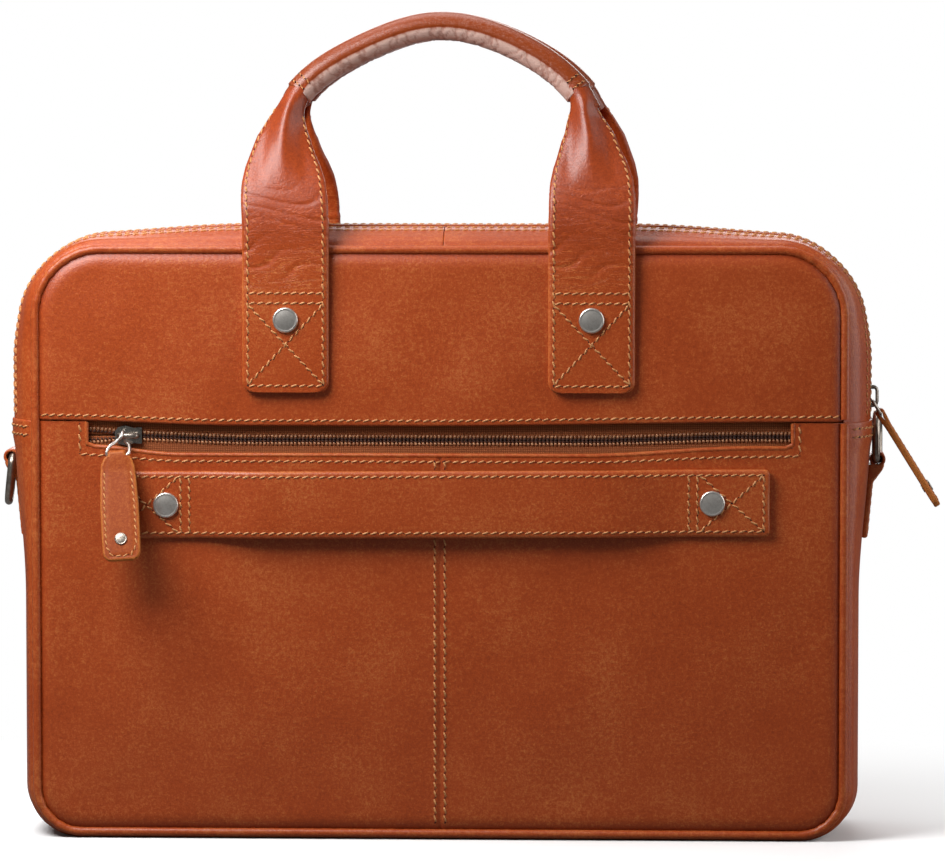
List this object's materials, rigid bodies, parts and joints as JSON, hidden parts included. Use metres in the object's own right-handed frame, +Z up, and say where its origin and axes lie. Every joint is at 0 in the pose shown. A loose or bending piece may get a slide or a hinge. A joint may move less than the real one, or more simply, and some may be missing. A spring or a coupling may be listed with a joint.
{
  "type": "leather briefcase",
  "caption": "Soft leather laptop briefcase with rolled handles, a zipped mouth, a zipped front pocket, a luggage strap and side rings.",
  "frame": {"origin": "centre of the flat base, on the ground", "axes": "+X to the right seen from the front, the front faces -Y, +Z up"},
  "size_m": [0.4597, 0.1166, 0.3997],
  "materials": {
    "leather": "waxed, fine grain",
    "lining": "woven",
    "zip_tape": "woven",
    "zip_coil": "satin",
    "antique_nickel": "antique, dark",
    "board": "matte",
    "cord": "twisted"
  },
  "bodies": {
    "case": {"gusset_lower": "leather", "gusset_back_left": "leather", "gusset_back_right": "leather", "main_zip_tape_back": "zip_tape", "main_zip_coil_back": "zip_coil", "back_panel": "leather", "back_piping": "leather", "front_panel_left": "leather", "front_panel_right": "leather", "front_piping_lower": "leather", "front_zip_tape_upper": "zip_tape", "front_zip_tape_lower": "zip_tape", "front_zip_coil_upper": "zip_coil", "front_zip_coil_lower": "zip_coil", "luggage_strap": "leather", "luggage_rivet_left": "antique_nickel", "luggage_rivet_right": "antique_nickel", "ring_tab_left": "leather", "ring_tab_right": "leather", "base_board": "board", "back_lining": "lining", "front_pocket_lining": "lining", "laptop_divider": "lining", "back_handle_tab_left": "leather", "back_handle_tab_right": "leather", "back_handle_rivet_left": "antique_nickel", "back_handle_rivet_right": "antique_nickel"},
    "mouth_flap": {"front_yoke": "leather", "front_piping_upper": "leather", "gusset_front_left": "leather", "gusset_front_right": "leather", "main_zip_tape_front": "zip_tape", "main_zip_coil_front": "zip_coil", "yoke_lining": "lining", "front_handle_tab_left": "leather", "front_handle_tab_right": "leather", "front_handle_rivet_left": "antique_nickel", "front_handle_rivet_right": "antique_nickel"},
    "front_handle": {"front_handle_strap_left": "leather", "front_handle_strap_right": "leather", "front_handle_grip": "leather", "front_handle_core": "cord"},
    "back_handle": {"back_handle_strap_left": "leather", "back_handle_strap_right": "leather", "back_handle_grip": "leather", "back_handle_core": "cord"},
    "front_slider": {"front_zip_slider": "antique_nickel"},
    "front_wire": {"front_pull_wire": "antique_nickel"},
    "front_pull": {"front_pull_tab": "leather", "front_pull_rivet": "antique_nickel"},
    "main_slider": {"main_zip_slider": "antique_nickel"},
    "main_wire": {"main_pull_wire": "antique_nickel"},
    "main_pull": {"main_pull_tab": "leather", "main_pull_rivet": "antique_nickel"},
    "left_ring": {"left_ring": "antique_nickel"},
    "right_ring": {"right_ring": "antique_nickel"}
  },
  "joints": [
    {"name": "mouth_open", "type": "hinge", "parent": "case", "child": "mouth_flap", "pos_m": [0, -0.041, 0.203], "axis": [1, 0, 0], "range_deg": [0, 30]},
    {"name": "front_handle_fold", "type": "hinge", "parent": "mouth_flap", "child": "front_handle", "pos_m": [0, -0.0455, 0.264], "axis": [1, 0, 0], "range_deg": [0, 150]},
    {"name": "back_handle_fold", "type": "hinge", "parent": "case", "child": "back_handle", "pos_m": [0, 0.0455, 0.264], "axis": [-1, 0, 0], "range_deg": [0, 150]},
    {"name": "front_zip_slide", "type": "slide", "parent": "case", "child": "front_slider", "axis": [1, 0, 0], "range_m": [0, 0.3]},
    {"name": "front_wire_swing", "type": "hinge", "parent": "front_slider", "child": "front_wire", "pos_m": [-0.15, -0.04255, 0.19575], "axis": [-1, 0, 0], "range_deg": [0, 60]},
    {"name": "front_pull_swing", "type": "hinge", "parent": "front_wire", "child": "front_pull", "pos_m": [-0.15, -0.04835, 0.18705], "axis": [-1, 0, 0], "range_deg": [0, 40]},
    {"name": "main_zip_slide", "type": "slide", "parent": "case", "child": "main_slider", "axis": [0, 0, 1], "range_m": [0, 0.03]},
    {"name": "main_wire_swing", "type": "hinge", "parent": "main_slider", "child": "main_wire", "pos_m": [0.20909, -0.011, 0.2117], "axis": [0, -1, 0], "range_deg": [0, 90]},
    {"name": "main_pull_swing", "type": "hinge", "parent": "main_wire", "child": "main_pull", "pos_m": [0.2128, -0.011, 0.20576], "axis": [0, -1, 0], "range_deg": [-20, 40]},
    {"name": "left_ring_swing", "type": "hinge", "parent": "case", "child": "left_ring", "pos_m": [-0.21223, 0.0125, 0.182], "axis": [0, 1, 0], "range_deg": [0, 165]},
    {"name": "right_ring_swing", "type": "hinge", "parent": "case", "child": "right_ring", "pos_m": [0.21223, 0.0125, 0.182], "axis": [0, 1, 0], "range_deg": [0, 165]}
  ]
}
